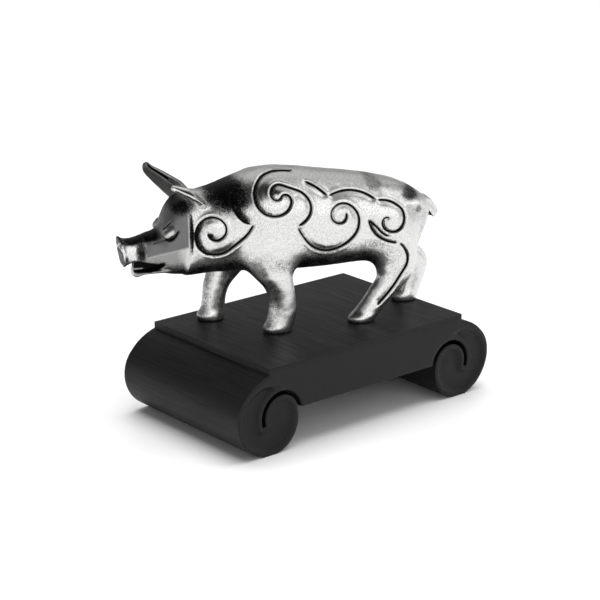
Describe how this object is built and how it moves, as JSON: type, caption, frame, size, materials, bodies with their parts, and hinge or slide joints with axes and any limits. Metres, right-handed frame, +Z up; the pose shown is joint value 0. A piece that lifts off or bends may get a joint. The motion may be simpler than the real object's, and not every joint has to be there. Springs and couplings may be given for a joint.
{
  "type": "pig figurine on a scrolled plinth",
  "caption": "Small cast metal pig with carved scroll ornament, standing askew on a matt black plinth whose two ends roll under like scrolls",
  "frame": {"origin": "on the ground, in the middle of what the whole figurine covers", "axes": "+Z up, +X along the long side of the plinth towards the pig's tail, +Y away from the pig's left flank towards the back of the plinth"},
  "size_m": [0.0954, 0.053, 0.0686],
  "materials": {
    "pewter": "polished cast pewter, dark patina left in the carved lines and the hollows",
    "black_wood": "matt black stained fine wood with a faint grain"
  },
  "bodies": {
    "root": {"pig": "pewter", "plinth": "black_wood"}
  },
  "joints": []
}
